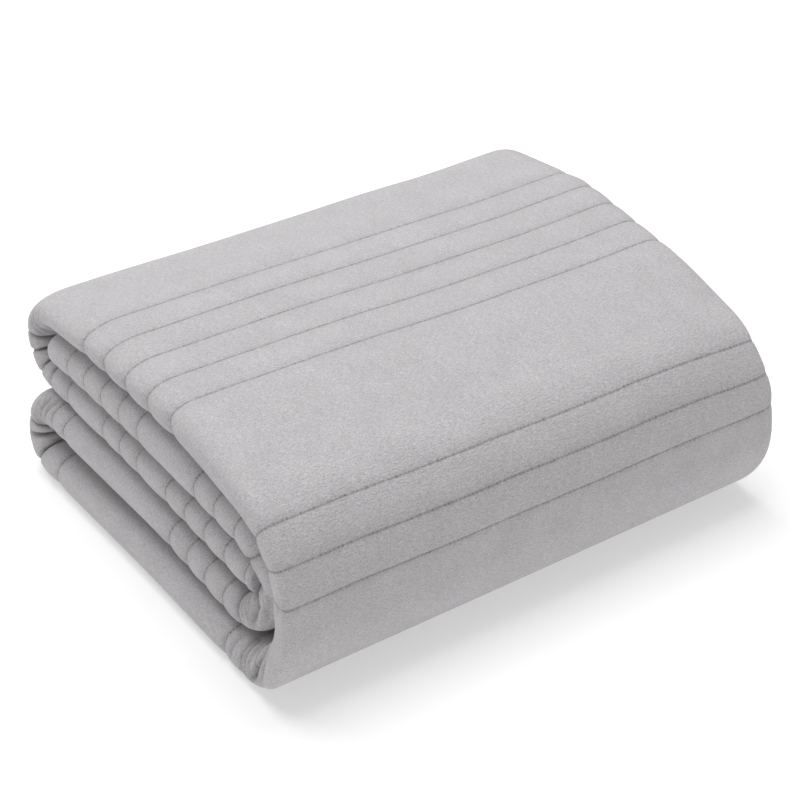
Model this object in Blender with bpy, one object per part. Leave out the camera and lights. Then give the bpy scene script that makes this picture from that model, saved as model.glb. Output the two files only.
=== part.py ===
"""A quilted cooling blanket, folded for the shelf.

The blanket is one filled sheet. It is folded in thirds across its width, which makes a band of three
plies, and the band is then folded back and forth along its length into five layers. Here +X runs along
the rounded ends of the layers, -Y is the big round fold at the front, and +Z is up.
"""

import math
from collections import namedtuple

import bmesh
import bpy
import numpy as np

# The band: three plies of the filled sheet, one on the other.
PLIES = 3
PLY_GAP = 0.0008  # air between two plies
HEM_SETBACK = 0.4  # how far the lowest ply's hem stands back at the right end, in ply thicknesses
TUCK_END = 1.62  # where the middle ply's hem ends inside the left fold, in ply thicknesses

# How finely the cloth is cut into flat faces.
LEFT_FOLD_STEP = math.radians(30)
RIGHT_FOLD_STEP = math.radians(45)
BEND_STEP = math.radians(22)
LONGEST_FACE = 0.080
CURVE_STEP = 0.001
CURVE_TURN = math.radians(3)
SOFTENING = 0.021  # length over which a bend eases into a straight layer

# The sewn channels: a seam draws the filled sheet in over this distance on each side of the stitches.
SEAM_DRAW = 0.0090
SEAM_PINCH = 0.34  # part of a ply's thickness that the stitches take away
HEM_ROUNDING = ((0.000, 0.55), (0.003, 0.16))  # distance from the hem, part of the thickness gone

# The folds, in order along the band. Each row is a corner of the path that the middle of the band takes:
# back is its distance from the front, up its height, bend the radius of the turn there, thick the
# band's thickness, and left and right the places where the band's two ends lie.
Fold = namedtuple("Fold", "name back up bend thick left right")
FOLDS = (
    Fold("second layer, hem", 0.3740, 0.13250, 0.0000, 0.0335, 0.012, 0.497),
    Fold("second layer, dip", 0.2025, 0.13150, 0.4260, 0.0345, 0.011, 0.497),
    Fold("inner front bend, top", 0.0500, 0.12200, 0.0365, 0.0310, 0.020, 0.492),
    Fold("inner front bend, foot", 0.0500, 0.05050, 0.0345, 0.0310, 0.020, 0.491),
    Fold("fourth layer, rise", 0.2025, 0.05650, 0.4260, 0.0355, 0.014, 0.495),
    Fold("lower back bend, top", 0.4035, 0.05800, 0.0200, 0.0355, 0.005, 0.497),
    Fold("lower back bend, foot", 0.4035, 0.01750, 0.0200, 0.0360, 0.002, 0.498),
    Fold("bottom layer, middle", 0.2130, 0.01750, 0.0000, 0.0360, 0.001, 0.496),
    Fold("bottom layer, front", 0.0875, 0.01575, 0.0000, 0.0325, 0.003, 0.494),
    Fold("front bend, foot", 0.0170, 0.01550, 0.0530, 0.0320, 0.009, 0.484),
    Fold("front bend, top", 0.0170, 0.14650, 0.0550, 0.0340, 0.013, 0.482),
    Fold("top layer, shoulder", 0.1330, 0.16800, 0.4260, 0.0370, 0.013, 0.490),
    Fold("top layer, crown", 0.2750, 0.17500, 0.4260, 0.0365, 0.012, 0.506),
    Fold("upper back bend, top", 0.4040, 0.16600, 0.0420, 0.0350, 0.012, 0.507),
    Fold("upper back bend, foot", 0.4090, 0.09750, 0.0290, 0.0345, 0.012, 0.504),
    Fold("third layer, dip", 0.2025, 0.09400, 0.4260, 0.0345, 0.015, 0.496),
    Fold("third layer, hem", 0.0765, 0.08650, 0.0000, 0.0330, 0.018, 0.493),
)

# The seams, in groups along the band: start is the first seam's distance from the second layer's hem.
Group = namedtuple("Group", "name start count spacing")
SEAM_GROUPS = (
    Group("second layer, back", 0.035, 5, 0.030),
    Group("second layer, front", 0.235, 4, 0.0295),
    Group("fourth layer, front", 0.394, 5, 0.0285),
    Group("lower back bend", 0.689, 4, 0.027),
    Group("front bend, foot", 1.054, 3, 0.026),
    Group("front", 1.184, 3, 0.0285),
    Group("top", 1.368, 5, 0.035),
    Group("upper back bend", 1.585, 5, 0.0295),
    Group("third layer, back", 1.756, 3, 0.0295),
    Group("third layer, front", 1.873, 4, 0.0285),
)

# Where the pattern of plies is drawn before it is stretched to the band's real width.
DRAWN_WIDTH = 20.0

GREY = (0.56, 0.555, 0.555, 1.0)


def clear_scene():
    """Remove every object, so that the script can be run again."""
    for thing in list(bpy.data.objects):
        bpy.data.objects.remove(thing, do_unlink=True)


def rounded_path(corners, radii, steps):
    """Points of a path that goes from corner to corner and turns at each on an arc of its radius."""
    corners = np.array(corners, float)
    points = [corners[0]]
    for before, corner, after, radius, step in zip(corners, corners[1:], corners[2:], radii[1:], steps[1:]):
        back = (before - corner) / np.linalg.norm(before - corner)
        ahead = (after - corner) / np.linalg.norm(after - corner)
        turn = math.pi - math.acos(np.clip(back @ ahead, -1.0, 1.0))
        if radius == 0.0 or turn < 0.01:
            points.append(corner)
            continue
        start = corner + back * radius * math.tan(turn / 2)
        middle = corner + (back + ahead) / np.linalg.norm(back + ahead) * radius / math.cos(turn / 2)
        side = math.copysign(1.0, ahead[0] * back[1] - ahead[1] * back[0])
        count = max(1, math.ceil(turn / step - 1e-6))
        for angle in np.linspace(0.0, side * turn, count + 1):
            spoke = start - middle
            points.append(middle + (spoke[0] * math.cos(angle) - spoke[1] * math.sin(angle),
                                    spoke[0] * math.sin(angle) + spoke[1] * math.cos(angle)))
    points.append(corners[-1])
    points = np.array(points)
    moved = np.linalg.norm(np.diff(points, axis=0), axis=1)
    return points[np.append(True, moved > 1e-6)]


def distance_along(points):
    """Distance of each point of a path from its start."""
    return np.concatenate([[0.0], np.cumsum(np.linalg.norm(np.diff(points, axis=0), axis=1))])


def directions(points):
    """Unit direction of a path at each point, and the direction to its left."""
    ahead = np.gradient(points, axis=0)
    ahead /= np.linalg.norm(ahead, axis=1)[:, None]
    return ahead, np.stack([-ahead[:, 1], ahead[:, 0]], axis=1)


def band_path():
    """The middle of the band in the YZ plane, evenly stepped, with bends that ease into the layers."""
    corners = [(fold.back, fold.up) for fold in FOLDS]
    rough = rounded_path(corners, [fold.bend for fold in FOLDS], [CURVE_TURN] * len(FOLDS))
    along = distance_along(rough)
    even = np.arange(0.0, along[-1], CURVE_STEP)
    path = np.stack([np.interp(even, along, rough[:, axis]) for axis in (0, 1)], axis=1)
    reach = round(SOFTENING / CURVE_STEP / 2)
    weights = np.hanning(2 * reach + 3)[1:-1]
    weights /= weights.sum()
    beyond = np.arange(1, reach + 1)[:, None]
    first = path[0] + (path[0] - path[1]) * beyond[::-1]
    last = path[-1] + (path[-1] - path[-2]) * beyond
    longer = np.concatenate([first, path, last])
    return np.stack([np.convolve(longer[:, axis], weights, "valid") for axis in (0, 1)], axis=1)


def fold_places(path, along):
    """Distance along the band at which it passes each row of the table of folds."""
    places = []
    start = 0
    for fold in FOLDS:
        span = slice(start, start + round(0.45 / CURVE_STEP))
        gap = np.linalg.norm(path[span] - (fold.back, fold.up), axis=1)
        start += int(gap.argmin())
        places.append(along[start])
    return places


def seam_places(group):
    """Distance along the band of each seam of a group."""
    return [group.start + group.spacing * i for i in range(group.count)]


def stations(along, path):
    """Distances along the band at which it is cut into faces: closer at seams, hems and bends."""
    length = along[-1]
    fixed = [0.0, length]
    fixed += [near for near, _ in HEM_ROUNDING] + [length - near for near, _ in HEM_ROUNDING]
    for group in SEAM_GROUPS:
        seams = seam_places(group)
        fixed += seams + [seam + group.spacing / 2 for seam in seams[:-1]]
        fixed += [seams[0] - SEAM_DRAW, seams[-1] + SEAM_DRAW]
    fixed = sorted(set(round(value, 6) for value in fixed))
    ahead, _ = directions(path)
    heading = np.unwrap(np.arctan2(ahead[:, 1], ahead[:, 0]))
    turned = distance_along(heading[:, None])
    cuts = [fixed[0]]
    for low, high in zip(fixed, fixed[1:]):
        turn = np.interp(high, along, turned) - np.interp(low, along, turned)
        count = max(1, math.ceil(turn / BEND_STEP), math.ceil((high - low) / LONGEST_FACE))
        cuts += list(np.linspace(low, high, count + 1)[1:])
    return np.array(cuts)


def kept_thickness(places, length):
    """Part of the sheet's thickness that is left at each place, after seams and hems draw it in."""
    kept = np.ones(len(places))
    for group in SEAM_GROUPS:
        for seam in seam_places(group):
            kept -= SEAM_PINCH * np.clip(1.0 - np.abs(places - seam) / SEAM_DRAW, 0.0, 1.0)
    near = np.minimum(places, length - places)
    distance = [row[0] for row in HEM_ROUNDING] + [2 * HEM_ROUNDING[1][0]]
    gone = [row[1] for row in HEM_ROUNDING] + [0.0]
    return kept * (1.0 - np.interp(near, distance, gone))


def ply_outline():
    """Outline of the sheet folded in thirds, as seen from the band's hem, in ply thicknesses.

    Gives the middle line's point for each point of the outline, and the way out from it. The path goes
    from the lowest ply's hem round the left fold to the top ply, and back under it to the middle one.
    """
    left_edge = 0.5
    right_edge = DRAWN_WIDTH - 0.5
    corners = [(right_edge - HEM_SETBACK, -1), (left_edge, -1), (left_edge, 1), (right_edge, 1),
               (right_edge, 0), (TUCK_END, 0)]
    steps = [0, LEFT_FOLD_STEP, LEFT_FOLD_STEP, RIGHT_FOLD_STEP, RIGHT_FOLD_STEP, 0]
    middle = rounded_path(corners, [0, 1, 1, 0.5, 0.5, 0], steps)
    ahead, left = directions(middle)
    ahead[0], ahead[-1] = (-1, 0), (-1, 0)
    left[0], left[-1] = (0, -1), (0, -1)
    hem_corner = 0.55
    hem_depth = 0.7
    line = np.concatenate([middle, middle[[-1, -1]], middle[::-1], middle[[0, 0]]])
    out = np.concatenate([
        left,
        [ahead[-1] * hem_depth + left[-1] * hem_corner, ahead[-1] * hem_depth - left[-1] * hem_corner],
        -left[::-1],
        [-ahead[0] * hem_depth - left[0] * hem_corner, -ahead[0] * hem_depth + left[0] * hem_corner],
    ])
    return line, out


def blanket_points():
    """Every point of the folded blanket's surface: one row for each station, one column round the plies."""
    path = band_path()
    along = distance_along(path)
    cuts = stations(along, path)
    _, left_hand = directions(path)
    centre = np.stack([np.interp(cuts, along, path[:, axis]) for axis in (0, 1)], axis=1)
    normal = np.stack([np.interp(cuts, along, left_hand[:, axis]) for axis in (0, 1)], axis=1)
    places = fold_places(path, along)
    thick = np.interp(cuts, places, [fold.thick for fold in FOLDS])
    left_end = np.interp(cuts, places, [fold.left for fold in FOLDS])
    right_end = np.interp(cuts, places, [fold.right for fold in FOLDS])

    line, out = ply_outline()
    pitch = (thick / PLIES)[:, None]
    half = (0.5 * pitch - 0.5 * PLY_GAP) * kept_thickness(cuts, along[-1])[:, None]
    drawn = line[None, :, 0] * np.ones_like(pitch)
    across = np.where(drawn < DRAWN_WIDTH / 2, left_end[:, None] + drawn * pitch,
                      right_end[:, None] - (DRAWN_WIDTH - drawn) * pitch)
    x = across + out[None, :, 0] * half
    lift = line[None, :, 1] * pitch + out[None, :, 1] * half
    y = centre[:, :1] + lift * normal[:, :1]
    z = np.maximum(centre[:, 1:] + lift * normal[:, 1:], 0.0)
    points = np.stack([x, y, z], axis=2)
    low, high = points.min(axis=(0, 1)), points.max(axis=(0, 1))
    points[..., :2] -= (low[:2] + high[:2]) / 2
    return points


def skin_faces(rows, columns):
    """Faces between neighbouring rows, and one at each hem of the band."""
    here = np.arange(rows * columns).reshape(rows, columns)
    side = np.roll(here, -1, axis=1)
    faces = np.stack([here[:-1], side[:-1], side[1:], here[1:]], axis=2).reshape(-1, 4).tolist()
    return faces + [here[0, ::-1].tolist(), here[-1].tolist()]


def quilted_cloth():
    """Soft light grey brushed cloth."""
    material = bpy.data.materials.new("quilted cloth")
    material.use_nodes = True
    shader = material.node_tree.nodes["Principled BSDF"]
    shader.inputs["Base Color"].default_value = GREY
    shader.inputs["Roughness"].default_value = 0.9
    shader.inputs["Metallic"].default_value = 0.0
    material.diffuse_color = GREY
    return material


def make_blanket():
    """The folded blanket as one closed body."""
    points = blanket_points()
    rows, columns = points.shape[:2]
    mesh = bpy.data.meshes.new("blanket")
    mesh.from_pydata(points.reshape(-1, 3).tolist(), [], skin_faces(rows, columns))
    body = bmesh.new()
    body.from_mesh(mesh)
    bmesh.ops.triangulate(body, faces=body.faces[:])
    bmesh.ops.recalc_face_normals(body, faces=body.faces[:])
    body.to_mesh(mesh)
    body.free()
    mesh.shade_smooth()
    mesh.set_sharp_from_angle(angle=math.radians(40))
    mesh.materials.append(quilted_cloth())
    blanket = bpy.data.objects.new("blanket", mesh)
    bpy.context.scene.collection.objects.link(blanket)
    return blanket


clear_scene()
made = make_blanket()
print("blanket:", len(made.data.polygons), "faces, size",
      [round(side, 4) for side in made.dimensions])
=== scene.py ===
# %% [markdown]
# # A folded cooling blanket
#
# The object is one quilted blanket, folded for the shelf. A soft filling lies between two brushed cloths, and
# long straight seams go through all three. The sheet is first folded in thirds, which gives a band of three
# plies. The band is then folded back and forth into five layers.
#
# The lesson builds the cloth as one closed surface worked out on a grid, sews it with a line of real stitches
# along every seam, gives it a brushed finish, and sets it on a pale floor in soft light.

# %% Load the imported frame
import math
from collections import namedtuple

import bpy
import numpy as np
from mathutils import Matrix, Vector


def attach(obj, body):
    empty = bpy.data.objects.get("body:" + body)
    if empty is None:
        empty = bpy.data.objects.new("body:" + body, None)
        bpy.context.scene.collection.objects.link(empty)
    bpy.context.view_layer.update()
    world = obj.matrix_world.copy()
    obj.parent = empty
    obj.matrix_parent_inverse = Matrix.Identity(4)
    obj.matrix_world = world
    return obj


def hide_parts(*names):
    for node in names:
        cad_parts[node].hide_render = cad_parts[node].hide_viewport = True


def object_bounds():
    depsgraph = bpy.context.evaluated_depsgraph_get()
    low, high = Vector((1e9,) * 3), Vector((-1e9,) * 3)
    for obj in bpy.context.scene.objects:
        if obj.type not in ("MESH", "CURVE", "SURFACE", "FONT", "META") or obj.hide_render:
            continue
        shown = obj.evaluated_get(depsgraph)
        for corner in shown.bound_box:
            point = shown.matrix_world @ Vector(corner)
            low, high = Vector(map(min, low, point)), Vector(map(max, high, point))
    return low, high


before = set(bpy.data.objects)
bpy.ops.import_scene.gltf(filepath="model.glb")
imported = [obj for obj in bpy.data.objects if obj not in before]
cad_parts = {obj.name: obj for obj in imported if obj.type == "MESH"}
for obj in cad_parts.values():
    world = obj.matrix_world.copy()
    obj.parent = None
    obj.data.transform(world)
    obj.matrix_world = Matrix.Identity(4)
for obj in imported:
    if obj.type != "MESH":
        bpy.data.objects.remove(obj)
cad_box = [list(corner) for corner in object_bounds()]
print("packed box:", [[round(value, 4) for value in corner] for corner in cad_box])

# %% [markdown]
# ## The path of the folds
#
# Seen from its end, the folded band is one line that runs back and forth. The line could be drawn by hand as a
# curve, or dropped into place by a cloth simulation. Here it comes from a short table instead, with a row for
# each corner that the line would have if it were bent from wire. Each corner is rounded by its own radius and
# then eased with a moving average, so that the line leaves every bend as gently as thick cloth does. A table
# puts each layer where it should lie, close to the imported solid, which a simulation would not.

# %% The table of folds
# back is the corner's distance from the front, up its height, and bend the radius of the turn there. thick is
# the band's thickness, and left and right are the places of its two ends, counted from the left. over and under
# are how far the left nose reaches above and below its tip, and tip is how high that tip lies above the middle
# of the band, all three in ply thicknesses.
Fold = namedtuple("Fold", "name back up bend thick left right over under tip", defaults=(0.0,))
FOLDS = (
    Fold("second layer, hem", 0.3700, 0.13550, 0.0000, 0.0345, 0.0120, 0.497, 1.5, 2.4),
    Fold("second layer, dip", 0.2025, 0.13800, 0.4260, 0.0370, 0.0110, 0.497, 1.5, 2.4),
    Fold("inner front bend, top", 0.0500, 0.11850, 0.0365, 0.0335, 0.0170, 0.492, 1.4, 1.9),
    Fold("inner front bend, waist", 0.0500, 0.08000, 0.0000, 0.0310, 0.0260, 0.491, 1.4, 1.8),
    Fold("inner front bend, foot", 0.0500, 0.04500, 0.0345, 0.0310, 0.0140, 0.491, 1.4, 1.8),
    Fold("fourth layer, rise", 0.2025, 0.06000, 0.4260, 0.0345, 0.0130, 0.495, 2.4, 1.5),
    Fold("lower back bend, top", 0.4035, 0.06850, 0.0220, 0.0320, 0.0050, 0.497, 2.2, 1.6),
    Fold("lower back bend, foot", 0.4035, 0.01750, 0.0220, 0.0350, 0.0020, 0.498, 1.8, 2.2),
    Fold("bottom layer, middle", 0.2130, 0.01750, 0.0000, 0.0360, 0.0060, 0.496, 2.0, 2.4),
    Fold("bottom layer, front", 0.0875, 0.01575, 0.0000, 0.0325, 0.0070, 0.494, 1.8, 2.0),
    Fold("front bend, foot", 0.0170, 0.01550, 0.0530, 0.0320, 0.0060, 0.488, 0.7, 2.4, 0.4),
    Fold("front, waist", 0.0170, 0.07500, 0.0000, 0.0320, 0.0110, 0.486, 0.5, 2.8, 0.9),
    Fold("front bend, top", 0.0170, 0.14650, 0.0550, 0.0340, 0.0095, 0.477, 0.7, 2.4, 0.8),
    Fold("top layer, shoulder", 0.1330, 0.16800, 0.4260, 0.0370, 0.0125, 0.486, 1.5, 2.0, 0.3),
    Fold("top layer, crown", 0.2750, 0.17500, 0.4260, 0.0350, 0.0120, 0.506, 3.6, 1.7),
    Fold("upper back bend, top", 0.4040, 0.16700, 0.0420, 0.0310, 0.0130, 0.507, 3.6, 2.3),
    Fold("upper back bend, foot", 0.4090, 0.10150, 0.0290, 0.0330, 0.0140, 0.504, 1.7, 2.0),
    Fold("third layer, dip", 0.2025, 0.09900, 0.4260, 0.0345, 0.0140, 0.496, 1.5, 2.4),
    Fold("third layer, hem", 0.0620, 0.08500, 0.0000, 0.0330, 0.0180, 0.493, 1.5, 2.2),
)
print("folds:", len(FOLDS), "corners")

# %% Round a corner
ARC_STEP = math.radians(3)
LEAST_TURN = 0.01  # a turn smaller than this, in radians, needs no arc


def arc_points(before, corner, after, radius):
    """Points of the arc of a given radius that touches both sides of a corner.

    The arc starts radius * tan(turn / 2) before the corner, and its middle lies on the line that halves the
    corner, radius / cos(turn / 2) away.
    """
    back = (before - corner) / np.linalg.norm(before - corner)
    ahead = (after - corner) / np.linalg.norm(after - corner)
    turn = math.pi - math.acos(np.clip(back @ ahead, -1.0, 1.0))
    if radius == 0.0 or turn < LEAST_TURN:
        return corner[None, :]
    middle = corner + (back + ahead) / np.linalg.norm(back + ahead) * radius / math.cos(turn / 2)
    spoke = corner + back * radius * math.tan(turn / 2) - middle
    side = math.copysign(1.0, ahead[0] * back[1] - ahead[1] * back[0])
    angle = np.linspace(0.0, side * turn, 2 + int(turn / ARC_STEP))
    return middle + np.stack([spoke[0] * np.cos(angle) - spoke[1] * np.sin(angle),
                              spoke[0] * np.sin(angle) + spoke[1] * np.cos(angle)], axis=1)


square_corner = np.array([(0.0, 0.0), (0.1, 0.0), (0.1, 0.1)])
print("a square corner, rounded by 50 mm:", len(arc_points(*square_corner, 0.05)), "points")

# %% From corners to one eased line
PATH_STEP = 0.001
SOFTENING = 0.021  # length over which a bend eases into a straight layer


def distance_along(points):
    """Distance of each point of a line from its start: the running sum of the steps between points."""
    return np.concatenate([[0.0], np.cumsum(np.linalg.norm(np.diff(points, axis=0), axis=1))])


def band_path():
    """The middle of the band in the YZ plane, evenly stepped and eased by a bell-shaped moving average."""
    corners = np.array([(fold.back, fold.up) for fold in FOLDS])
    arcs = [arc_points(*corners[i - 1:i + 2], FOLDS[i].bend) for i in range(1, len(FOLDS) - 1)]
    rough = np.concatenate([corners[:1], *arcs, corners[-1:]])
    along = distance_along(rough)
    even = np.arange(0.0, along[-1], PATH_STEP)
    path = np.stack([np.interp(even, along, rough[:, axis]) for axis in (0, 1)], axis=1)
    reach = round(SOFTENING / PATH_STEP / 2)
    bell = np.hanning(2 * reach + 3)[1:-1]
    bell /= bell.sum()
    beyond = np.arange(1, reach + 1)[:, None]
    first = path[0] + (path[0] - path[1]) * beyond[::-1]
    last = path[-1] + (path[-1] - path[-2]) * beyond
    longer = np.concatenate([first, path, last])
    return np.stack([np.convolve(longer[:, axis], bell, "valid") for axis in (0, 1)], axis=1)


path = band_path()
along = distance_along(path)
length = along[-1]
ahead = np.gradient(path, axis=0)
ahead /= np.linalg.norm(ahead, axis=1)[:, None]
left_hand = np.stack([-ahead[:, 1], ahead[:, 0]], axis=1)
print("band length:", round(length, 4), "m, in", len(path), "steps")

# %% Where the band passes each fold
LONGEST_LAYER = 0.45  # no two corners are further apart than this


def fold_places():
    """Distance along the band of the path's nearest point to each corner, taken in order."""
    places = []
    start = 0
    reach = round(LONGEST_LAYER / PATH_STEP)
    for fold in FOLDS:
        gap = np.linalg.norm(path[start:start + reach] - (fold.back, fold.up), axis=1)
        start += int(gap.argmin())
        places.append(along[start])
    return np.array(places)


places = fold_places()
for fold, place in zip(FOLDS, places):
    print(f"  {fold.name}: {place:.3f} m")

# %% [markdown]
# ## Three plies, one outline
#
# Cut across, the band shows how the sheet was folded in thirds: a wide soft nose at the left where the sheet
# wraps round its own end, a narrow fold of two plies at the right, and one hem under it. That outline is drawn
# once, in ply thicknesses. Each point of it holds on to the left end, to the right end, or to a place between
# them, so the same outline fits every stretch of the band however wide it is there. A sweep of a closed curve
# along a path would do the same, but it could not let the two ends wander from layer to layer.

# %% Sizes of the outline
PLIES = 3
PLY_GAP = 0.0008  # air between two plies, in metres
USUAL_PITCH = 0.0118  # usual thickness of one ply, in metres
GAP = PLY_GAP / USUAL_PITCH / 2
HALF_BAND = PLIES / 2  # from the band's middle to its outer faces, in ply thicknesses
LEFT_ZONE = 6.2  # how far the outline holds on to the left end, in ply thicknesses
RIGHT_ZONE = 4.6  # and how far on to the right end
NOSE_LONG = 2.0  # the left nose as drawn, in ply thicknesses
FOLD_LONG = 1.8  # the two-ply fold at the right
TUCK_END = 2.9  # where the middle ply ends inside the nose
TUCK_ROUND = 0.45  # rounding of that ply's end
INNER_ROUND = 0.5  # rounding of the hem, and of the hollow that the middle ply ends in
GAP_REACH = 0.3  # how far the gap between the fold's two plies reaches into its rounding
HEM_BACK = 0.4  # how far the lowest ply's hem stands back at the right
print("a ply:", round(1000 * USUAL_PITCH, 1), "mm thick, with", round(1000 * PLY_GAP, 1), "mm of air to the next")

# %% Level faces and rounded ends
# left and right are distances from the two ends, share is 0 for a point held by the left end and 1 for one held
# by the right end, lift is the height over the band's middle, and outside is 1 where the cloth can be seen
Ring = namedtuple("Ring", "left right share lift outside")


def level(lift, outside, ends, counts, leftward):
    """A ply's whole face, from end to end, or the other way round.

    ends are the distances from the left and the right end, and counts the points near the left end, over the
    free width and near the right end.
    """
    near_left = ends[0] + (LEFT_ZONE - ends[0]) * np.linspace(0.0, 1.0, counts[0] + 1)[:-1]
    near_right = RIGHT_ZONE + (ends[1] - RIGHT_ZONE) * np.linspace(0.0, 1.0, counts[2] + 1)[1:]
    between = np.linspace(0.0, 1.0, counts[1] + 2)
    left = np.concatenate([near_left, np.full(counts[1] + 2 + counts[2], LEFT_ZONE)])
    right = np.concatenate([np.full(counts[0] + counts[1] + 2, RIGHT_ZONE), near_right])
    share = np.concatenate([np.zeros(counts[0]), between, np.ones(counts[2])])
    columns = [np.array(column, float) for column in np.broadcast_arrays(left, right, share, lift, outside)]
    return [column[::-1] for column in columns] if leftward else columns


def rounded_end(long, low, high, turn, at_left, count, back=0.0, outside=1.0):
    """A rounded end: half an ellipse from the low to the high side, long in the other direction.

    turn is 1 for an end that is passed upwards, and -1 for one that is passed downwards. back is how far its
    outermost point stands from the band's end, and outside is 0 for an end that lies between the plies.
    """
    angle = np.radians(np.linspace(-90.0, 90.0, count + 2)[1:-1]) * turn
    place = back + long * (1.0 - np.cos(angle))
    lift = (low + high) / 2 + (high - low) / 2 * np.sin(angle)
    left, right, share = (place, RIGHT_ZONE, 0.0) if at_left else (LEFT_ZONE, place, 1.0)
    return [np.array(column, float) for column in np.broadcast_arrays(left, right, share, lift, outside)]


drawn_nose = Ring(*rounded_end(NOSE_LONG, -HALF_BAND, HALF_BAND, 1, at_left=True, count=23))
print("the nose as drawn:", len(drawn_nose.lift), "points,", round(drawn_nose.left.max(), 2), "plies long")

# %% Once round the plies


def ply_outline():
    """The whole outline, once round: outer face and nose, right fold, middle ply, and back inside."""
    half = 0.5 - GAP
    inner = 0.5 + GAP
    hem = HEM_BACK + INNER_ROUND
    gap_end = FOLD_LONG - GAP_REACH
    tuck = TUCK_END - TUCK_ROUND
    hollow = TUCK_END - INNER_ROUND
    wall = hollow - INNER_ROUND
    parts = [
        level(-HALF_BAND, 1, (NOSE_LONG, hem), (6, 9, 7), leftward=True),
        rounded_end(NOSE_LONG, -HALF_BAND, HALF_BAND, 1, at_left=True, count=23),
        level(HALF_BAND, 1, (NOSE_LONG, FOLD_LONG), (8, 12, 6), leftward=False),
        rounded_end(FOLD_LONG, -half, HALF_BAND, -1, at_left=False, count=13),
        level(-half, 0, (TUCK_END, FOLD_LONG), (2, 2, 2), leftward=True),
        rounded_end(TUCK_ROUND, -half, half, 1, at_left=True, back=tuck, count=3, outside=0.0),
        level(half, 0, (TUCK_END, gap_end), (2, 2, 2), leftward=False),
        level(inner, 0, (hollow, gap_end), (2, 2, 2), leftward=True),
        rounded_end(INNER_ROUND, -inner, inner, -1, at_left=True, back=wall, count=3, outside=0.0),
        level(-inner, 0, (hollow, hem), (2, 2, 3), leftward=False),
        rounded_end(INNER_ROUND, -HALF_BAND, -inner, -1, at_left=False, back=HEM_BACK, count=5),
    ]
    return Ring(*[np.concatenate(columns) for columns in zip(*parts)])


ring = ply_outline()
tip = int(np.argmin(np.where((ring.share == 0) & (ring.outside == 1), ring.left, np.inf)))
print("outline points:", len(ring.lift), "with the nose's tip at", tip)

# %% [markdown]
# ## Seams
#
# A seam draws the filled sheet in and lets it puff out again on both sides. Cutting grooves with a Boolean
# would leave hard edges, and a bump map would leave the outline straight. Instead each seam is a row of the
# grid, the rows crowd together next to it, and the surface is drawn in along its own way out by a narrow dip
# under the thread and a wider one beside it. Where the band bends, the filling has nowhere to go, so there the
# dips at the noses are deeper, most of all on the inside of the bend.

# %% The seams, in groups along the band
# start is the first seam's distance from the second layer's hem, and spacing the distance to the next. depth is
# how far a seam draws the cloth in, and nose how many times deeper it is at the nose. toward is where round the
# nose it is deepest, as a distance from the tip, more than 0 above it. soft is the wider dip's share of it all.
Group = namedtuple("Group", "name start count spacing depth nose toward soft")
SEAM_GROUPS = (
    Group("second layer, back", 0.0370, 5, 0.0300, 0.0014, 1.5, 0.010, 0.5),
    Group("second layer, front", 0.2390, 3, 0.0270, 0.0014, 1.5, 0.010, 0.5),
    Group("inner front bend, top", 0.3165, 1, 0.0000, 0.0018, 2.0, 0.006, 0.4),
    Group("inner front bend, foot", 0.3900, 1, 0.0000, 0.0018, 4.6, 0.012, 0.3),
    Group("fourth layer, front", 0.4125, 4, 0.0265, 0.0016, 1.7, -0.010, 0.5),
    Group("fourth layer, back", 0.6610, 2, 0.0200, 0.0015, 1.5, -0.010, 0.5),
    Group("lower back bend", 0.7250, 2, 0.0340, 0.0018, 5.4, -0.024, 0.25),
    Group("bottom layer, back", 0.7920, 1, 0.0000, 0.0018, 1.4, 0.000, 0.5),
    Group("front bend, foot", 1.0650, 2, 0.0240, 0.0018, 1.6, 0.000, 0.4),
    Group("front corner", 1.1130, 1, 0.0000, 0.0014, 1.0, 0.000, 0.4),
    Group("front", 1.1970, 3, 0.0245, 0.0014, 1.2, 0.000, 0.6),
    Group("top", 1.3700, 5, 0.0350, 0.0015, 2.0, -0.010, 0.6),
    Group("upper back bend", 1.6350, 4, 0.0175, 0.0018, 5.0, -0.026, 0.22),
    Group("third layer, back", 1.7180, 1, 0.0000, 0.0016, 1.6, 0.008, 0.5),
    Group("third layer, middle", 1.7815, 3, 0.0285, 0.0014, 1.6, 0.010, 0.5),
    Group("third layer, front", 1.8835, 5, 0.0275, 0.0015, 1.6, 0.010, 0.5),
)


def per_seam(column):
    """One column of the groups' table, repeated for each seam of each group."""
    return np.repeat([getattr(group, column) for group in SEAM_GROUPS], [group.count for group in SEAM_GROUPS])


seams = np.concatenate([group.start + group.spacing * np.arange(group.count) for group in SEAM_GROUPS])
print("seams:", len(seams))

# %% Rows of the grid
ROWS_BESIDE_SEAM = 5
LONGEST_ROW_GAP = 0.0085
BENDS = (  # start, end and widest gap between rows, which are finer here for the creases
    (0.3165, 0.3900, 0.0018),
    (0.6810, 0.7250, 0.0014),
    (0.7250, 0.7590, 0.0019),
    (1.0650, 1.1420, 0.0020),
    (1.5880, 1.6350, 0.0020),
    (1.6350, 1.6875, 0.0024),
)
ROW_CROWDING = 1.6  # power that crowds the rows towards a seam


def row_places():
    """Distances along the band of the grid's rows.

    From each seam to halfway to the next, the rows stand at reach * (i / count) ^ crowding, so they crowd at
    the seam. The ends of the band and of its bends count as seams. The widest gap is about crowding * reach /
    count, which gives the count.
    """
    marks = np.unique(np.round(np.concatenate([[0.0, length], seams, *(bend[:2] for bend in BENDS)]), 5))
    rows = [marks]
    for low, high in zip(marks, marks[1:]):
        reach = (high - low) / 2
        widest = min([LONGEST_ROW_GAP] + [gap for start, end, gap in BENDS if start < low + reach < end])
        count = max(ROWS_BESIDE_SEAM, math.ceil(ROW_CROWDING * reach / widest))
        steps = reach * (np.arange(1, count + 1) / count) ** ROW_CROWDING
        rows += [low + steps, high - steps[:-1]]
    return np.sort(np.concatenate(rows))


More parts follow.
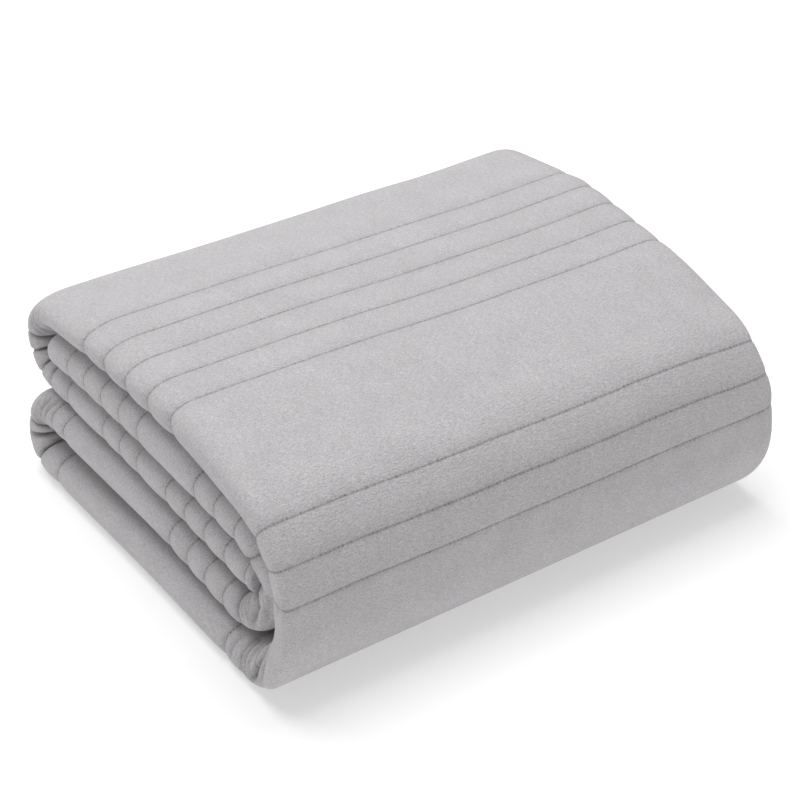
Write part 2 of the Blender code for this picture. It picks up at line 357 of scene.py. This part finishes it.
rows = row_places()
seam_rows = np.abs(rows[None, :] - seams[:, None]).argmin(axis=1)
print("rows:", len(rows), "columns:", len(ring.lift), "triangles:", 2 * len(rows) * len(ring.lift))

# %% How deep the cloth is drawn in
UNDER_THREAD = 0.0017  # width of the narrow dip under the thread
BESIDE_THREAD = 0.0075  # width of the wider dip beside it
HEM_TURN = 0.0050  # length of the hem's rounded edge
HEM_DEPTH = 0.0036  # how far it turns in
NOSE_REACH = 0.021  # how far round the nose its deeper dips reach


def seam_dip(place, around):
    """Depth that the seams draw the surface in: a narrow groove in a wider, soft one.

    The narrow one is exp(-(d / narrow)^2) and the soft one exp(-(d / wide)^1.5), with d the distance from the
    seam. At the noses each seam's depth is multiplied by its own nose factor, most of all at its own distance
    round the nose, toward the inside of a bend.
    """
    dip = np.zeros_like(place)
    for seam, depth, nose, toward, soft in zip(seams, *map(per_seam, ("depth", "nose", "toward", "soft"))):
        distance = np.abs(place - seam)
        shape = (1.0 - soft) * np.exp(-((distance / UNDER_THREAD) ** 2))
        shape += soft * np.exp(-((distance / BESIDE_THREAD) ** 1.5))
        nose_share = np.exp(-(((around - toward) / NOSE_REACH) ** 2))
        dip += depth * (1.0 + (nose - 1.0) * nose_share * ring.outside) * shape
    return dip


def hem_dip(place):
    """Depth that the band's two hems turn in: a quarter of an ellipse over the last few millimetres."""
    near = np.clip(np.minimum(place, length - place) / HEM_TURN, 0.0, 1.0)
    return HEM_DEPTH * (1.0 - np.sqrt(1.0 - (1.0 - near) ** 2))


deepest = max(group.depth * group.nose for group in SEAM_GROUPS)
print("deepest seam:", round(1000 * deepest, 1), "mm, at the noses of the bends")

# %% [markdown]
# ## Small creases
#
# Thick cloth that is bent shows short soft troughs beside its seams, most of all at the noses of the bends.
# Sculpting would make them by hand, and a simulation would put them where it likes. Here each crease is one row
# of a table: where it starts and ends on the cloth, as a distance along the band and a distance round the nose,
# and how deep and wide it is. A row can be moved until the crease sits where it does on the real blanket.

# %% The creases
CREASE_FADE = 0.4  # power of the fade towards a crease's ends, and 0 is no fade
Crease = namedtuple("Crease", "name start start_round end end_round depth width")
CREASES = (
    Crease("upper back bend, above", 1.5970, 0.012, 1.6250, -0.022, 0.0026, 0.0024),
    Crease("upper back bend, beside it", 1.6080, 0.010, 1.6310, -0.018, 0.0022, 0.0022),
    Crease("upper back bend, far above", 1.5860, 0.010, 1.6080, -0.018, 0.0014, 0.0026),
    Crease("lower back bend, first of the fan", 0.6870, 0.022, 0.6950, -0.012, 0.0036, 0.0020),
    Crease("lower back bend, second", 0.6945, 0.020, 0.7040, -0.016, 0.0050, 0.0021),
    Crease("lower back bend, third", 0.7030, 0.014, 0.7140, -0.018, 0.0046, 0.0020),
    Crease("lower back bend, last", 0.7120, 0.008, 0.7210, -0.018, 0.0028, 0.0019),
    Crease("lower back bend, behind", 0.7385, 0.004, 0.7365, -0.032, 0.0085, 0.0022),
    Crease("inner front bend, beside the hem", 0.3550, 0.020, 0.3625, -0.001, 0.0062, 0.0022),
    Crease("inner front bend, below the hem", 0.3605, 0.003, 0.3765, -0.010, 0.0050, 0.0021),
    Crease("inner front bend, first small one", 0.3805, 0.018, 0.3810, -0.004, 0.0034, 0.0019),
    Crease("inner front bend, second", 0.3740, 0.018, 0.3750, -0.005, 0.0038, 0.0019),
    Crease("inner front bend, third", 0.3680, 0.016, 0.3700, -0.004, 0.0030, 0.0018),
    Crease("inner front bend, outside", 0.3560, -0.003, 0.3650, -0.014, 0.0022, 0.0019),
    Crease("inner front bend, outside too", 0.3480, -0.002, 0.3600, -0.012, 0.0020, 0.0019),
    Crease("front foot, first", 1.0750, 0.004, 1.0770, -0.022, 0.0026, 0.0020),
    Crease("front foot, second", 1.0950, 0.010, 1.0960, -0.026, 0.0034, 0.0021),
    Crease("front foot, beside it", 1.1020, 0.006, 1.1060, -0.024, 0.0030, 0.0020),
    Crease("front corner, the deep one", 1.1000, 0.010, 1.1380, -0.018, 0.0090, 0.0027),
    Crease("front corner, beside it", 1.1180, 0.008, 1.1420, -0.010, 0.0028, 0.0020),
)


def crease_dip(place, around):
    """Depth of the creases: a bell exp(-(d / width)^2) across each, and (4 t (1 - t))^fade along it.

    A crease is a straight line on the cloth. d is the distance from it, and t runs from 0 at its start to 1 at
    its end. around is the distance round the outline from the nose's tip, positive above it.
    """
    dip = np.zeros_like(place)
    for crease in CREASES:
        along_place = crease.end - crease.start
        along_round = crease.end_round - crease.start_round
        from_place, from_round = place - crease.start, around - crease.start_round
        t = (from_place * along_place + from_round * along_round) / (along_place**2 + along_round**2)
        t = np.clip(t, 0.0, 1.0)
        distance = np.hypot(from_place - t * along_place, from_round - t * along_round)
        dip += crease.depth * (4.0 * t * (1.0 - t)) ** CREASE_FADE * np.exp(-((distance / crease.width) ** 2))
    return dip


print("creases:", len(CREASES))

# %% [markdown]
# ## The surface
#
# Everything above meets in one function of two parameters: the distance along the band and the place round
# the outline. It stands each point off the band's middle line and draws it in at seams and creases. Then the
# whole stack settles: the layers swell and sink a little, as soft cloth does, and the lowest one keeps to the
# level surface. Modifiers could do each of these one by one, but here all points are worked out at once as
# arrays, and only then handed to the mesh, so that every seam keeps its place.

# %% The nose of each layer
NOSE_POWER = 2.2  # 2 is a round nose, and more is a fuller one


def at_places(column, place):
    """One column of the fold table, read at any distance along the band."""
    return np.interp(place, places, [getattr(fold, column) for fold in FOLDS])


def nose_places(base):
    """Each point's distance from the left end, in ply thicknesses, with the nose as long as its fold has it.

    A nose is long * (1 - (1 - s^n)^(1 / n)), where s is the share of the thickness between the nose's tip and
    that side. From there on the distance runs evenly to the end of the left zone.
    """
    tip_lift = at_places("tip", base)
    above = ring.lift[None, :] - tip_lift
    wanted = np.where(above > 0.0, at_places("over", base), at_places("under", base))
    left = ring.left[None, :]
    reached = np.clip(np.abs(above) / (HALF_BAND - np.sign(above) * tip_lift), 0.0, 1.0)
    nose = wanted * (1.0 - (1.0 - reached**NOSE_POWER) ** (1.0 / NOSE_POWER))
    beyond = wanted + (left - NOSE_LONG) * (LEFT_ZONE - wanted) / (LEFT_ZONE - NOSE_LONG)
    return np.where(ring.outside[None, :] < 0.5, left, np.where(left < NOSE_LONG, nose, beyond))


longest = max(max(fold.over, fold.under) for fold in FOLDS)
print("longest nose:", longest, "ply thicknesses")

# %% Points of the band
SEAM_WANDER = 0.0003  # how far a seam strays from straight
WANDERS = ((1.0, 43.0, 9.0), (0.5, 97.0, -31.0))  # each wave's size, and radians per metre across and along
WANDER_START = 0.02  # distance from the hems over which the straying begins
DEPTH_INSIDE = 0.45  # share of a seam's depth that is left between the plies


def ways_out(x, lift):
    """Unit direction out of the cloth in the outline's own plane: the outline's direction, turned a quarter."""
    step_x = np.roll(x, -1, axis=1) - np.roll(x, 1, axis=1)
    step_lift = np.roll(lift, -1, axis=1) - np.roll(lift, 1, axis=1)
    size = np.hypot(step_x, step_lift)
    return -step_lift / size, step_x / size


def band_points(row_distance):
    """Points of the surface, one row for each distance along the band and one column for each outline point.

    Across, a point lies its own number of plies from the left or right end, or a share of the way between. In
    the YZ plane it is centre + lift * normal. Both are drawn in by the depth of seams, creases and hems.
    """
    share = ring.share[None, :]
    base = row_distance[:, None] * np.ones_like(share)
    pitch = at_places("thick", base) / PLIES
    from_left = at_places("left", base) + nose_places(base) * pitch
    x = from_left * (1.0 - share) + (at_places("right", base) - ring.right * pitch) * share
    lift = ring.lift * pitch

    inside = np.clip(np.minimum(base, length - base) / WANDER_START, 0.0, 1.0)
    wander = sum(size * np.sin(across * x + down * base) for size, across, down in WANDERS)
    place = base + SEAM_WANDER * wander * inside
    centre = [np.interp(place, along, path[:, axis]) for axis in (0, 1)]
    normal = [np.interp(place, along, left_hand[:, axis]) for axis in (0, 1)]

    step = np.hypot(np.diff(x, axis=1), np.diff(lift, axis=1))
    around = np.concatenate([np.zeros((len(x), 1)), np.cumsum(step, axis=1)], axis=1)
    around -= around[:, tip:tip + 1]
    depth = seam_dip(base, around) * (DEPTH_INSIDE + (1.0 - DEPTH_INSIDE) * ring.outside)
    depth += crease_dip(base, around) * ring.outside + hem_dip(base)

    out_x, out_lift = ways_out(x, lift)
    x = x - out_x * depth
    lift = lift - out_lift * depth
    return x, centre[0] + lift * normal[0], centre[1] + lift * normal[1], around, depth


x, y, z, around, depth = band_points(rows)
print("points:", x.size, "drawn in by up to", round(1000 * depth.max(), 1), "mm")

# %% Let the stack settle
SWELL = 0.0011  # slow rise and fall of the layers, greatest at the top
TOP_RISE = (
    (0.0000, 0.0000, 0.0000, 0.0000, -0.0080),
    (-0.0010, 0.0000, 0.0000, 0.0000, 0.0020),
    (-0.0050, -0.0020, -0.0020, 0.0000, 0.0030),
    (-0.0100, -0.0070, -0.0060, -0.0020, 0.0050),
)  # metres, from the left to the right end, front row first
TOP_POWER = 3  # the higher it is, the more of that rise is left to the top layers
SINK = 0.0004  # how far the lowest layer is pressed flat


def height_change(x, y):
    """The given rise or fall of the top, read between its marks with smooth steps t^2 * (3 - 2 t)."""
    marks_x = np.linspace(x.min(), x.max(), len(TOP_RISE[0]))
    marks_y = np.linspace(y.min(), y.max(), len(TOP_RISE))
    across = np.clip(np.searchsorted(marks_x, x) - 1, 0, len(marks_x) - 2)
    inward = np.clip(np.searchsorted(marks_y, y) - 1, 0, len(marks_y) - 2)
    t = (x - marks_x[across]) / (marks_x[1] - marks_x[0])
    u = (y - marks_y[inward]) / (marks_y[1] - marks_y[0])
    t, u = t * t * (3.0 - 2.0 * t), u * u * (3.0 - 2.0 * u)
    rise = np.array(TOP_RISE)
    near = rise[inward, across] * (1.0 - t) + rise[inward, across + 1] * t
    far = rise[inward + 1, across] * (1.0 - t) + rise[inward + 1, across + 1] * t
    return near * (1.0 - u) + far * u


def settled_height(x, y, z):
    """Height of the stack as it lies: a swell of a few crossing waves, and the top's own rise and fall.

    Both grow with the height, as a share of the whole: the swell evenly, and the rise with the share's power.
    What would then lie below the level surface is pressed flat on it.
    """
    share = np.clip(z / z.max(), 0.0, 1.0)
    swell = np.sin(11.0 * x + 1.3) * np.sin(9.0 * y + 0.4) + 0.5 * np.sin(23.0 * x - 14.0 * y)
    risen = z + SWELL * swell * share + height_change(x, y) * share**TOP_POWER
    return np.maximum(risen - SINK, 0.0)


z = settled_height(x, y, z)
middle = [(cad_box[0][axis] + cad_box[1][axis]) / 2 for axis in (0, 1)]
x += middle[0] - (x.min() + x.max()) / 2
y += middle[1] - (y.min() + y.max()) / 2
points = np.stack([x, y, z], axis=2)
print("cloth spans", np.round(points.max(axis=(0, 1)) - points.min(axis=(0, 1)), 4), "m")

# %% Hand the points to a mesh


def skin_faces(row_count, column_count):
    """A four-sided face between each two neighbours of two neighbouring rows, and one at each hem."""
    here = np.arange(row_count * column_count).reshape(row_count, column_count)
    beside = np.roll(here, -1, axis=1)
    faces = np.stack([here[:-1], beside[:-1], beside[1:], here[1:]], axis=2).reshape(-1, 4).tolist()
    return faces + [here[0, ::-1].tolist(), here[-1].tolist()]


def new_piece(name, vertices, faces):
    """An object at the origin with its place in its mesh, shaded smooth."""
    mesh = bpy.data.meshes.new(name)
    mesh.from_pydata(vertices.reshape(-1, 3).tolist(), [], faces)
    mesh.validate()
    mesh.shade_smooth()
    piece = bpy.data.objects.new(name, mesh)
    bpy.context.scene.collection.objects.link(piece)
    return piece


cloth = new_piece("blanket_cloth", points, skin_faces(*points.shape[:2]))
print("cloth:", len(cloth.data.vertices), "points,", len(cloth.data.polygons), "faces")

# %% [markdown]
# ## Maps for the finish
#
# The pile and the seams follow the cloth, not the room, so the finish needs the cloth's own measure. A UV map
# holds it in metres: across the sheet in one direction and along the band in the other. Two more numbers on
# each point say how near the next seam is, and how deep the point lies in a hollow. Unwrapping in Blender would
# give a map too, but not one with its lines along the seams.

# %% Write the maps


def seam_distance(distance):
    """Distance from the nearest seam, in metres."""
    return np.abs(distance[:, None] - seams[None, :]).min(axis=1)


def write_maps(piece):
    """The UV map in metres, and each point's distance from the next seam and depth in a hollow."""
    mesh = piece.data
    corner = np.empty(len(mesh.loops), np.int32)
    mesh.loops.foreach_get("vertex_index", corner)
    across = around.reshape(-1)[corner]
    down = np.repeat(rows, points.shape[1])[corner]
    layer = mesh.uv_layers.new(name="cloth")
    layer.data.foreach_set("uv", np.stack([across, down], axis=1).astype(np.float32).reshape(-1))
    numbers = {"seam": np.repeat(seam_distance(rows), points.shape[1]), "hollow": depth.reshape(-1)}
    for name, values in numbers.items():
        mesh.attributes.new(name, "FLOAT", "POINT").data.foreach_set("value", values.astype(np.float32))
    return list(numbers)


seam_numbers = write_maps(cloth)
print("map:", cloth.data.uv_layers[0].name, "and numbers:", seam_numbers)

# %% [markdown]
# ## Stitches
#
# Each seam is a row of small stitches that sit in its groove. They could be painted on, but real ones catch the
# light and cast a small shadow, so each is a spindle of a few faces. One stitch is made, and arrays place all
# of them in a single mesh.

# %% One stitch
STITCH_PITCH = 0.0036
STITCH_LONG = 0.0021
STITCH_WIDE = 0.00060
STITCH_HIGH = 0.00040
ACROSS_CORNERS = 1.4  # a square is about this much wider from corner to corner than from side to side


def stitch_shape():
    """A four-sided spindle along X: rings whose size is sqrt(1 - (x / half)^2), and a point at each end."""
    stations = np.array([-0.62, 0.0, 0.62])
    size = np.sqrt(1.0 - stations**2)
    angle = np.radians([45.0, 135.0, 225.0, 315.0])
    body = np.stack([np.repeat(stations / 2, 4) * STITCH_LONG,
                     (size[:, None] * np.cos(angle)).reshape(-1) * STITCH_WIDE / ACROSS_CORNERS,
                     (size[:, None] * np.sin(angle)).reshape(-1) * STITCH_HIGH / ACROSS_CORNERS], axis=1)
    ends = np.array([[-STITCH_LONG / 2, 0, 0], [STITCH_LONG / 2, 0, 0]])
    return np.concatenate([body, ends])


def stitch_faces():
    """The spindle's faces: two rounds of four sides, and a fan of four triangles at each end."""
    sides, fans = [], []
    for i in range(4):
        j = (i + 1) % 4
        sides += [(i, j, j + 4, i + 4), (i + 4, j + 4, j + 8, i + 8)]
        fans += [(12, j, i), (13, i + 8, j + 8)]
    return np.array(sides), np.array(fans)


print("one stitch:", len(stitch_shape()), "points, every", 1000 * STITCH_PITCH, "mm")

# %% Where the stitches go
SEAM_ENDS = 0.003  # length without a stitch at each end of a seam
HIDDEN_BEYOND = 0.075  # inner layers show their seams only this far in from the nose
OUTER_LAYERS = (0.68, 1.72)  # stretch of the band whose seams show over their whole length


def read_line(values, run_length, where):
    """Points or directions along a line, read at distances along it."""
    return np.stack([np.interp(where, run_length, values[:, axis]) for axis in range(3)], axis=1)


def unit(directions):
    """Directions, each made one long."""
    return directions / np.linalg.norm(directions, axis=1)[:, None]


def stitch_places(row):
    """Middle, direction and way out of every stitch of one seam, evenly spaced round the outer face.

    The direction is that of the line from half a stitch before the middle to half a stitch after it. The way
    out is the seam's direction crossed with the band's, less what it shares with the stitch's direction.
    """
    outer = np.flatnonzero(ring.outside > 0.5)
    outer = outer[:np.flatnonzero(np.diff(outer) > 1)[0] + 1]
    line = points[row, outer]
    out = unit(np.cross(np.gradient(line, axis=0), points[row + 1, outer] - points[row - 1, outer]))
    run_length = around[row, outer]
    low, high = run_length[0] + SEAM_ENDS, run_length[-1] - SEAM_ENDS
    if not OUTER_LAYERS[0] < rows[row] < OUTER_LAYERS[1]:
        low, high = max(low, -HIDDEN_BEYOND), min(high, HIDDEN_BEYOND)
    at = (np.arange(int(low / STITCH_PITCH), int(high / STITCH_PITCH)) + 0.5) * STITCH_PITCH
    ends = [read_line(line, run_length, at + side * STITCH_LONG / 2) for side in (-1, 1)]
    along_seam = unit(ends[1] - ends[0])
    up = read_line(out, run_length, at)
    up = unit(up - (up * along_seam).sum(axis=1)[:, None] * along_seam)
    return read_line(line, run_length, at), along_seam, up


found = [stitch_places(row) for row in seam_rows]
print("stitches to a seam:", min(len(part[0]) for part in found), "to", max(len(part[0]) for part in found))

# %% Sew the seams
STITCH_LIFT = 0.25  # how far a stitch's middle stands out of the cloth, in its own height


def sew():
    """All stitches of all seams in one mesh: the shape is turned to each place and moved there."""
    shape = stitch_shape()
    centre, along_seam, up = (np.concatenate(parts) for parts in zip(*found))
    side = np.cross(up, along_seam)
    turned = (shape[None, :, :1] * along_seam[:, None] + shape[None, :, 1:2] * side[:, None]
              + shape[None, :, 2:] * up[:, None])
    vertices = turned + (centre + up * STITCH_HIGH * STITCH_LIFT)[:, None]
    offset = np.arange(len(centre))[:, None, None] * len(shape)
    sides, fans = stitch_faces()
    faces = (sides[None] + offset).reshape(-1, 4).tolist() + (fans[None] + offset).reshape(-1, 3).tolist()
    return vertices, faces


stitches = new_piece("seam_stitches", *sew())
print("stitches:", len(stitches.data.vertices) // len(stitch_shape()), "in", len(seams), "seams,",
      sum(len(face.vertices) - 2 for face in stitches.data.polygons), "triangles")

# %% [markdown]
# ## The brushed cloth
#
# The cloth is a knit whose face was brushed into a short pile. The pile scatters light at its tips, so edges
# look a little paler, and it leans one way, so its grain runs along the seams. A painted picture of cloth would
# bring its own light with it; a few noise textures at the right sizes do better. Mottling reads the place in
# space, while pile, grain and puckers read the cloth's own map, so that they bend with it. Painted shade darkens
# the grooves, needle holes and creases. Everything that is the same all over stays a plain number on the shader.

# %% A material and its nodes
CLOTH_COLOUR = (0.56, 0.545, 0.557)
# the thread's grey is set darker than the cloth's as painted shade of the seam
SHADED_THREAD_COLOUR = (0.40, 0.39, 0.40)


def new_material(name, colour, roughness):
    """A material and its shader, set to one colour and roughness."""
    material = bpy.data.materials.new(name)
    material.use_nodes = True
    material.diffuse_color = (*colour, 1.0)
    shader = material.node_tree.nodes["Principled BSDF"]
    shader.inputs["Base Color"].default_value = (*colour, 1.0)
    shader.inputs["Roughness"].default_value = roughness
    return material, shader


def add(material, kind, settings=(), links=()):
    """A new node with its settings, linked from other nodes' outputs."""
    node = material.node_tree.nodes.new(kind)
    for name, value in settings:
        if hasattr(node, name):
            setattr(node, name, value)
        else:
            node.inputs[name].default_value = value
    for socket, source in links:
        material.node_tree.links.new(source, node.inputs[socket])
    return node


print("thread is", round(SHADED_THREAD_COLOUR[0] / CLOTH_COLOUR[0], 2), "times as light as the cloth")

# %% Patterns, relief and shade
NOISE_RANGE = (0.3, 0.7)  # nearly all of a noise keeps to this range


def stretch(material, source, scale):
    """A vector, stretched by a factor in each direction."""
    return add(material, "ShaderNodeMapping", [("Scale", scale)], [("Vector", source)]).outputs["Vector"]


def noise(material, source, scale, detail=2.0, rough=0.5):
    """Soft noise with its feature size given as a scale per metre."""
    settings = [("Scale", scale), ("Detail", detail), ("Roughness", rough)]
    return add(material, "ShaderNodeTexNoise", settings, [("Vector", source)]).outputs["Fac"]


def spread(material, source, low, high, to_low, to_high):
    """A value moved from one range to another."""
    settings = [("From Min", low), ("From Max", high), ("To Min", to_low), ("To Max", to_high)]
    return add(material, "ShaderNodeMapRange", settings, [("Value", source)]).outputs["Result"]


def times(material, first, second):
    """The product of two values."""
    node = add(material, "ShaderNodeMath", [("operation", "MULTIPLY")])
    material.node_tree.links.new(first, node.inputs[0])
    material.node_tree.links.new(second, node.inputs[1])
    return node.outputs[0]


def noise_between(material, field, low, high):
    """Noise moved from its usual range to another."""
    return spread(material, field, *NOISE_RANGE, low, high)


def bump(material, height, distance, strength, under=None):
    """Relief from a height, on top of other relief if there is any."""
    links = [("Height", height)] + ([("Normal", under)] if under is not None else [])
    settings = [("Distance", distance), ("Strength", strength)]
    return add(material, "ShaderNodeBump", settings, links).outputs["Normal"]


def shaded_colour(material, shader, colour, shade):
    """The shader's colour: one colour, made lighter and darker from place to place by a factor."""
    tint = add(material, "ShaderNodeMix", [("data_type", "RGBA"), ("blend_type", "MULTIPLY")])
    tint.inputs[0].default_value = 1.0
    tint.inputs[6].default_value = (*colour, 1.0)
    grey = add(material, "ShaderNodeCombineColor", [], [("Red", shade), ("Green", shade), ("Blue", shade)])
    material.node_tree.links.new(grey.outputs[0], tint.inputs[7])
    material.node_tree.links.new(tint.outputs[2], shader.inputs["Base Color"])


print("noise keeps to", NOISE_RANGE)

# %% Patterns on the cloth
# across and down are marks per metre, across the sheet and along the band
Pattern = namedtuple("Pattern", "across down detail rough", defaults=(2.0, 0.5))
PILE = Pattern(760.0, 1150.0, 3.0, 0.65)
GRAIN = Pattern(300.0, 1700.0, 2.0, 0.6)
STREAK = Pattern(260.0, 850.0, 3.0, 0.6)
PUCKER = Pattern(210.0, 60.0, 1.0)
GROOVE_WOBBLE = Pattern(260.0, 60.0)
UNEVEN_HOLES = Pattern(330.0, 90.0)


def on_cloth(material, flat, pattern):
    """Noise whose marks are stretched along the cloth's own map."""
    stretched = stretch(material, flat, (pattern.across, pattern.down, 1.0))
    return noise(material, stretched, 1.0, pattern.detail, pattern.rough)


def needle_hole_shade(material, flat, seam):
    """Small spots of painted shade where the needle went in: round ones on the seams, one stitch pitch apart.

    Along the seam a triangle wave gives the distance to the nearest hole, across it the distance from the seam
    does, and the length of the two together, with a little noise, is the distance from the hole's middle.
    """
    parts = add(material, "ShaderNodeSeparateXYZ", [], [("Vector", flat)])
    wave = add(material, "ShaderNodeMath", [("operation", "PINGPONG")], [(0, parts.outputs["X"])])
    wave.inputs[1].default_value = STITCH_PITCH / 2
    uneven = noise_between(material, on_cloth(material, flat, UNEVEN_HOLES), 0.0, 0.0011)
    offset = add(material, "ShaderNodeCombineXYZ", [], [("X", wave.outputs[0]), ("Y", seam), ("Z", uneven)])
    distance = add(material, "ShaderNodeVectorMath", [("operation", "LENGTH")], [("Vector", offset.outputs[0])])
    return spread(material, distance.outputs["Value"], 0.0003, 0.0011, 0.50, 1.0)


print("finest pattern:", round(1000 / max(GRAIN[:2]), 2), "mm a mark")

# %% The cloth's finish


def brushed_cloth():
    """Light grey brushed knit: mottling, pile and grain in colour and relief, with painted shade down in the
    seams.

    The colour is multiplied by each factor in turn: mottling, pile and streaks, then painted shade in the
    grooves, the needle holes, the seams and the creases. The reliefs lie one on the other, from the puckers
    beside the seams, which are the broadest, to the pile.
    """
    material, shader = new_material("brushed_cloth", CLOTH_COLOUR, 0.92)
    shader.inputs["Specular IOR Level"].default_value = 0.25
    shader.inputs["Sheen Weight"].default_value = 0.22
    shader.inputs["Sheen Roughness"].default_value = 0.45
    shader.inputs["Sheen Tint"].default_value = (0.96, 0.95, 0.96, 1.0)
    solid = add(material, "ShaderNodeTexCoord").outputs["Object"]
    flat = add(material, "ShaderNodeUVMap", [("uv_map", "cloth")]).outputs["UV"]
    seam = add(material, "ShaderNodeAttribute", [("attribute_name", "seam")]).outputs["Fac"]
    hollow = add(material, "ShaderNodeAttribute", [("attribute_name", "hollow")]).outputs["Fac"]
    pile, grain, streak, pucker = (on_cloth(material, flat, kind) for kind in (PILE, GRAIN, STREAK, PUCKER))

    wobble = noise_between(material, on_cloth(material, flat, GROOVE_WOBBLE), -0.0007, 0.0007)
    from_seam = add(material, "ShaderNodeMath", [("operation", "ADD")], [(0, seam), (1, wobble)]).outputs[0]
    factors = [
        noise_between(material, noise(material, solid, 34.0, 3.0), 0.965, 1.035),  # broad mottling
        noise_between(material, noise(material, solid, 150.0, 3.0, 0.6), 0.965, 1.035),  # finer mottling
        noise_between(material, pile, 0.77, 1.23),
        noise_between(material, streak, 0.86, 1.14),
        # painted shade along the groove under the thread
        spread(material, from_seam, 0.0, 0.0012, 0.78, 1.0),  # the groove under the thread
        # painted shade in the needle holes
        needle_hole_shade(material, flat, seam),
        spread(material, hollow, 0.0, 0.006, 1.0, 0.62),  # shade down in seams and creases
    ]
    shade = factors[0]
    for factor in factors[1:]:
        shade = times(material, shade, factor)
    shaded_colour(material, shader, CLOTH_COLOUR, shade)

    beside_seam = spread(material, seam, 0.0, 0.008, 1.0, 0.0)
    relief = bump(material, times(material, pucker, beside_seam), 0.0012, 1.0)
    for height, distance, strength in ((streak, 0.0005, 0.8), (grain, 0.0004, 0.8), (pile, 0.0007, 1.0)):
        relief = bump(material, height, distance, strength, relief)
    material.node_tree.links.new(relief, shader.inputs["Normal"])
    return material


cloth.data.materials.append(brushed_cloth())
print("finish:", cloth.data.materials[0].name)

# %% [markdown]
# ## The thread
#
# The thread is matt spun yarn. Its grey is darker than the cloth's, as painted shade of the seam it lies down
# in. A plain colour would make it look like wire, and modelled strands would be finer than anyone can see, so
# two small noises give it uneven shade and a rough surface. They read the place in space, since the stitches
# have no map.

# %% The thread's finish


def seam_thread():
    """Matt spun thread of nearly the same grey, darkened a little as painted shade of the seam, with the fine
    twist of its strands.
    """
    material, shader = new_material("seam_thread", SHADED_THREAD_COLOUR, 0.8)
    shader.inputs["Specular IOR Level"].default_value = 0.3
    shader.inputs["Sheen Weight"].default_value = 0.15
    solid = add(material, "ShaderNodeTexCoord").outputs["Object"]
    strands = bump(material, noise(material, solid, 2600.0, 1.0), 0.0002, 0.6)
    material.node_tree.links.new(strands, shader.inputs["Normal"])
    shade = noise_between(material, noise(material, solid, 700.0, 1.0), 0.88, 1.08)
    shaded_colour(material, shader, SHADED_THREAD_COLOUR, shade)
    return material


stitches.data.materials.append(seam_thread())
print("finish:", stitches.data.materials[0].name)

# %% [markdown]
# ## Fixing the pieces to the frame
#
# The imported solid is the blanket that can be picked up and rests with its real weight, and the cloth is what is
# seen of it. Parenting one to the other would move nothing here, so both pieces simply ride on the only body
# there is, and the solid itself is hidden.

for piece in (cloth, stitches):
    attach(piece, "root")
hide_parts("blanket")

# %% [markdown]
# ## Floor and light
#
# A folded blanket is shown on a pale table in a studio, with light from nearly everywhere. A ring of lamps and
# screens could be built for that, but one wide floor, an even pale sky and a single broad panel overhead do the
# same: they keep the shadows short and soft, and let the layers shade one another. The floor glows a little, so
# that it stays white where the panel's light has thinned out.

# %% The floor
FLOOR_REACH = 30.0
FLOOR_DROP = 0.0003  # the floor lies this far under the blanket, so that the two don't flicker
FLOOR_GLOW = 0.34


def pale_floor():
    """A wide level sheet just under the blanket, in matt white."""
    corners = np.array([(-1, -1, 0), (1, -1, 0), (1, 1, 0), (-1, 1, 0)]) * FLOOR_REACH - (0.0, 0.0, FLOOR_DROP)
    floor = new_piece("floor", corners, [(0, 1, 2, 3)])
    material, shader = new_material("pale_floor", (0.82, 0.82, 0.82), 0.9)
    shader.inputs["Emission Color"].default_value = (1.0, 1.0, 1.0, 1.0)
    shader.inputs["Emission Strength"].default_value = FLOOR_GLOW
    floor.data.materials.append(material)


pale_floor()
print("floor:", 2 * FLOOR_REACH, "m wide")

# %% The light
PANEL_PLACE = (-0.10, 0.38, 2.1)
PANEL_AIM = (0.0, 0.0, 0.1)
PANEL_SIZE = 1.9
PANEL_POWER = 38.0
SKY_STRENGTH = 0.40


def soft_panel():
    """A square soft panel that faces its aim: tilted by the angle from straight down, and turned about Z."""
    light = bpy.data.lights.new("overhead_panel", "AREA")
    light.shape = "SQUARE"
    light.size = PANEL_SIZE
    light.energy = PANEL_POWER
    panel = bpy.data.objects.new("overhead_panel", light)
    panel.location = PANEL_PLACE
    away = np.array(PANEL_PLACE) - np.array(PANEL_AIM)
    panel.rotation_euler = (math.atan2(math.hypot(away[0], away[1]), away[2]), 0.0,
                            math.atan2(away[0], -away[1]))
    bpy.context.scene.collection.objects.link(panel)


def daylight():
    """Even pale light from all round."""
    world = bpy.data.worlds.new("daylight")
    world.use_nodes = True
    sky = world.node_tree.nodes["Background"]
    sky.inputs["Color"].default_value = (1.0, 1.0, 1.0, 1.0)
    sky.inputs["Strength"].default_value = SKY_STRENGTH
    bpy.context.scene.world = world


soft_panel()
daylight()
bpy.context.scene.view_settings.view_transform = "Standard"
print("panel:", PANEL_SIZE, "m wide,", PANEL_PLACE[2], "m up")

# %% [markdown]
# ## The camera
#
# The blanket is seen from its left front corner and from above, which shows the ends of the layers and the big
# front fold at once. A camera could be pulled into place by hand and aimed with a constraint. Here a turn, a
# tilt and a distance from one aim say where it stands, so that each can be changed without losing the others.

# %% The camera
AIM = (-0.0155, -0.0216, 0.0950)
DISTANCE = 1.4192
TURN = math.radians(-35.05)  # round the blanket, from straight in front
TILT = math.radians(31.78)  # above the horizon
LENS = 77.9


def look_at_blanket():
    """A camera that stands off from its aim by the turn and the tilt.

    It stands at aim + distance * (sin turn * cos tilt, -cos turn * cos tilt, sin tilt).
    """
    lens = bpy.data.cameras.new("camera")
    lens.lens = LENS
    lens.sensor_width = 36.0
    camera = bpy.data.objects.new("camera", lens)
    away = (math.sin(TURN) * math.cos(TILT), -math.cos(TURN) * math.cos(TILT), math.sin(TILT))
    camera.location = [aim + DISTANCE * part for aim, part in zip(AIM, away)]
    camera.rotation_euler = (math.pi / 2 - TILT, 0.0, TURN)
    bpy.context.scene.collection.objects.link(camera)
    bpy.context.scene.camera = camera


look_at_blanket()
print("camera:", [round(value, 3) for value in bpy.context.scene.camera.location])
